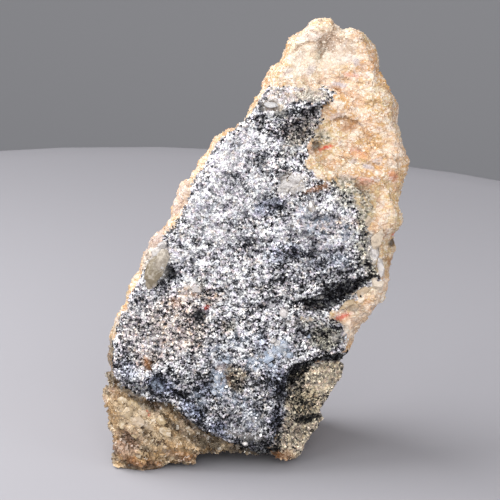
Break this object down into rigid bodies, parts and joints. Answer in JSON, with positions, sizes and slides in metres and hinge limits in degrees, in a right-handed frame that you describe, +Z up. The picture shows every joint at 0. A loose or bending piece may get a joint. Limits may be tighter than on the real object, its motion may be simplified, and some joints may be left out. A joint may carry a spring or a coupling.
{
  "type": "sylvanite ore specimen",
  "caption": "Leaning wedge of pinkish orange host rock with a thick grey, sparkling ore layer on its front, broken ledges and a quartz lump at its foot.",
  "frame": {"origin": "centre of the footprint, on the surface that the rock stands on", "axes": "+Z up, -Y out of the ore face, +X to the right of the ore face"},
  "size_m": [0.0514, 0.032, 0.075],
  "materials": {
    "ore_rock": "rough broken rock with metallic ore grains"
  },
  "bodies": {
    "root": {"specimen": "ore_rock"}
  },
  "joints": []
}
